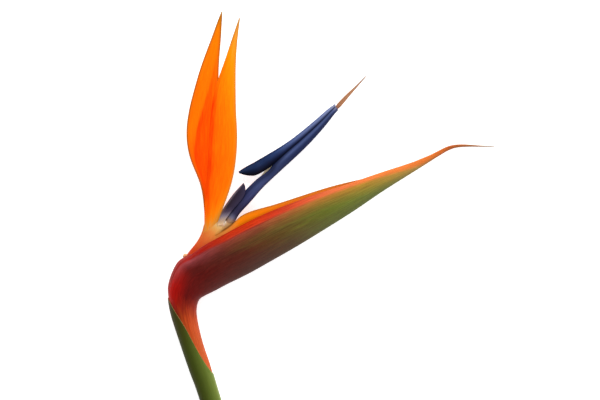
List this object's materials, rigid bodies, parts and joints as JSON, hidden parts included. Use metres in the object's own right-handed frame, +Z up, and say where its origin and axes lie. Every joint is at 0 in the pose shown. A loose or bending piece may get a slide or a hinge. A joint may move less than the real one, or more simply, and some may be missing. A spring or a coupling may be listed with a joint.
{
  "type": "bird of paradise flower",
  "caption": "Cut bird of paradise flower lying on its side: a hooked beak-like spathe on a sheathed stalk, upright orange sepals and a blue arrow of petals with a pale brown stigma.",
  "frame": {"origin": "on the surface that the flower lies on, at the middle of the small flat spot under the spathe's belly", "axes": "+Z up out of the surface, towards the near side of the flower; +Y from the stalk's cut end to the upright sepals' tips; +X towards the beak's tip"},
  "size_m": [0.1629, 0.2565, 0.0203],
  "materials": {
    "stem": "fibrous green stalk",
    "sheath": "satin green bract",
    "spathe": "satin bract, red to green",
    "flower_base": "fleshy, cream to orange",
    "sepal": "satin orange sepal",
    "petal": "satin blue petal",
    "stamens": "matte cream",
    "stigma": "matte pale brown",
    "bud": "satin pale orange"
  },
  "bodies": {
    "root": {"stem": "stem", "sheath": "sheath", "spathe": "spathe", "flower_base": "flower_base", "sepal_left": "sepal", "sepal_right": "sepal", "sepal_front": "sepal", "petal_near": "petal", "petal_far": "petal", "nectary_petal": "petal", "stamens": "stamens", "style": "stigma", "bud_lower": "bud", "bud_upper": "bud"}
  },
  "joints": []
}
